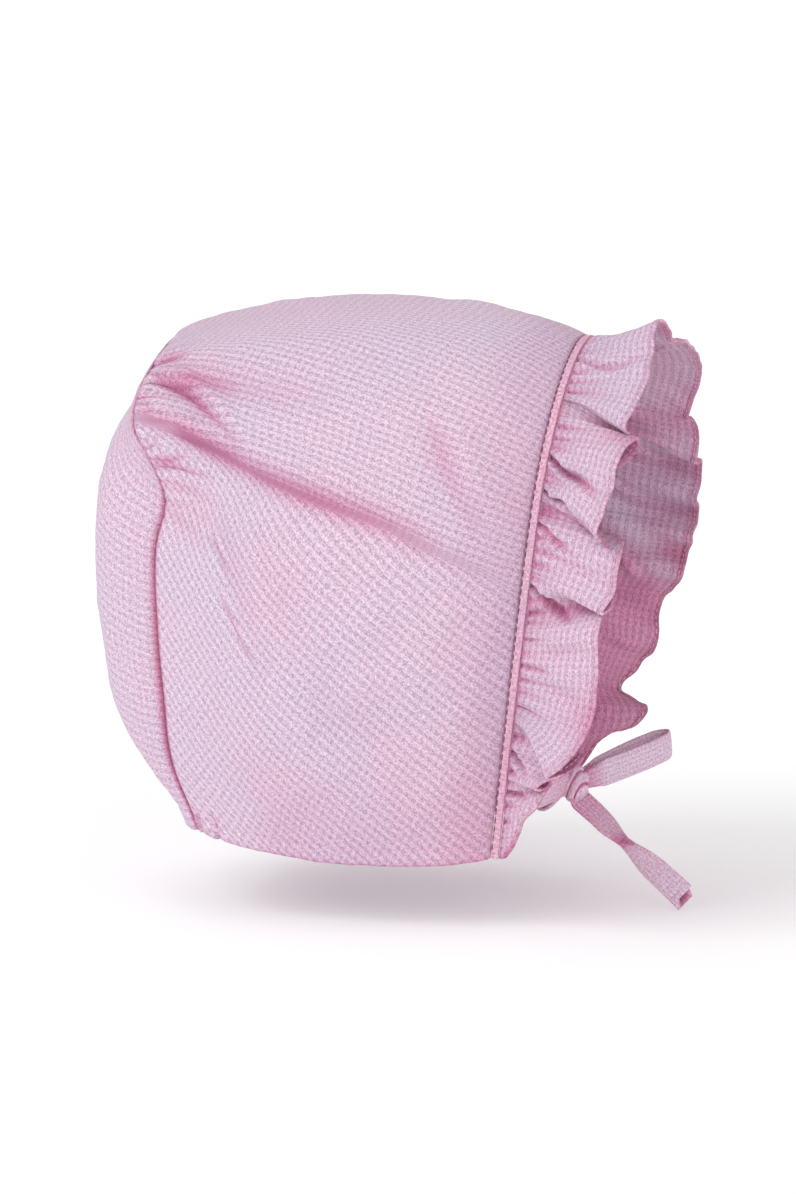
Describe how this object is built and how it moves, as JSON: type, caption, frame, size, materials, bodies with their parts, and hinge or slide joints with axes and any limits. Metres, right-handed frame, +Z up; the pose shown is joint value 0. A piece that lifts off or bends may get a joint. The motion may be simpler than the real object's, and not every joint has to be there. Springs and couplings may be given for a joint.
{
  "type": "baby bonnet",
  "caption": "Baby bonnet of thin checked cotton with a gathered crown, a horseshoe back panel, a frilled face edge and ties knotted in a bow under the chin.",
  "frame": {"origin": "inner top of the crown, midway between face edge and back seam, where the head carries the bonnet", "axes": "+Z up, -Y out through the face opening, +X to the wearer's left"},
  "size_m": [0.1412, 0.1786, 0.1807],
  "materials": {
    "pink_check": "plain-woven cotton in a fine pink and white check",
    "pink_check_back": "plain-woven cotton in a fine pink and white check",
    "pink_binding": "narrow topstitched strip of the same cotton",
    "pink_frill": "gathered strip of the same cotton with a narrow stitched hem",
    "pink_tie": "flat turned tube of the same cotton"
  },
  "bodies": {
    "root": {"crown_panel": "pink_check", "back_panel": "pink_check_back", "front_binding": "pink_binding", "ruffle": "pink_frill", "right_tie": "pink_tie", "left_tie": "pink_tie", "bow_knot": "pink_tie", "left_loop": "pink_tie", "right_loop": "pink_tie", "long_tail": "pink_tie", "short_tail": "pink_tie"}
  },
  "joints": []
}
